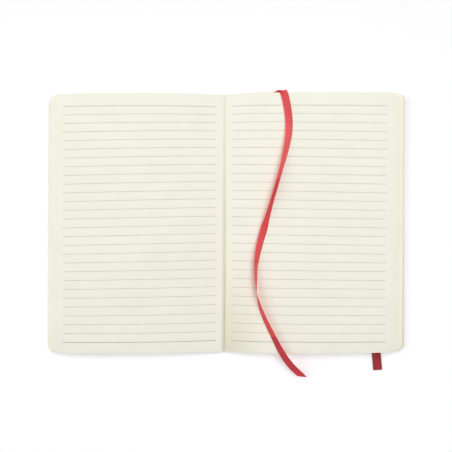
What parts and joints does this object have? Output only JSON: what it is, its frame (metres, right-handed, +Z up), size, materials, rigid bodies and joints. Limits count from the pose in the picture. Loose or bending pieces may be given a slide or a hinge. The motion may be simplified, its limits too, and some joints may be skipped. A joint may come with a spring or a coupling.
{
  "type": "soft-cover ruled notebook",
  "caption": "Soft-cover ruled notebook lying open near its middle, with curved page stacks, round corners, a ribbon marker and a flat elastic closure band",
  "frame": {"origin": "on the gutter line at mid-height of the book, on the underside of the spine cover", "axes": "+X across the spread to the right-hand page, +Y to the head of the book, +Z up out of the open pages"},
  "size_m": [0.2891, 0.2327, 0.0121],
  "materials": {
    "cover": "matt imitation leather with a fine grain",
    "endpaper": "smooth uncoated ivory paper",
    "lining": "thin woven cloth",
    "pages": "smooth uncoated ivory paper",
    "ruling": "matt grey printed line on paper",
    "elastic": "ribbed woven elastic",
    "ribbon": "satin ribbon"
  },
  "bodies": {
    "back_half": {"back_cover": "cover", "back_endpaper": "endpaper", "back_pages": "pages", "back_ruling": "ruling", "elastic_band": "elastic", "ribbon_marker": "ribbon"},
    "spine": {"spine_cover": "cover", "spine_lining": "lining", "page_gutter": "pages"},
    "front_half": {"front_cover": "cover", "front_endpaper": "endpaper", "front_pages": "pages", "front_ruling": "ruling"}
  },
  "joints": [
    {"name": "back_cover_crease", "type": "hinge", "parent": "back_half", "child": "spine", "pos_m": [0.01023, 0, 0.0011], "axis": [0, 1, 0], "range_deg": [0, 90], "deforming": ["page_gutter"]},
    {"name": "front_cover_crease", "type": "hinge", "parent": "spine", "child": "front_half", "pos_m": [-0.00627, 0, 0.0011], "axis": [0, 1, 0], "range_deg": [0, 90]}
  ]
}
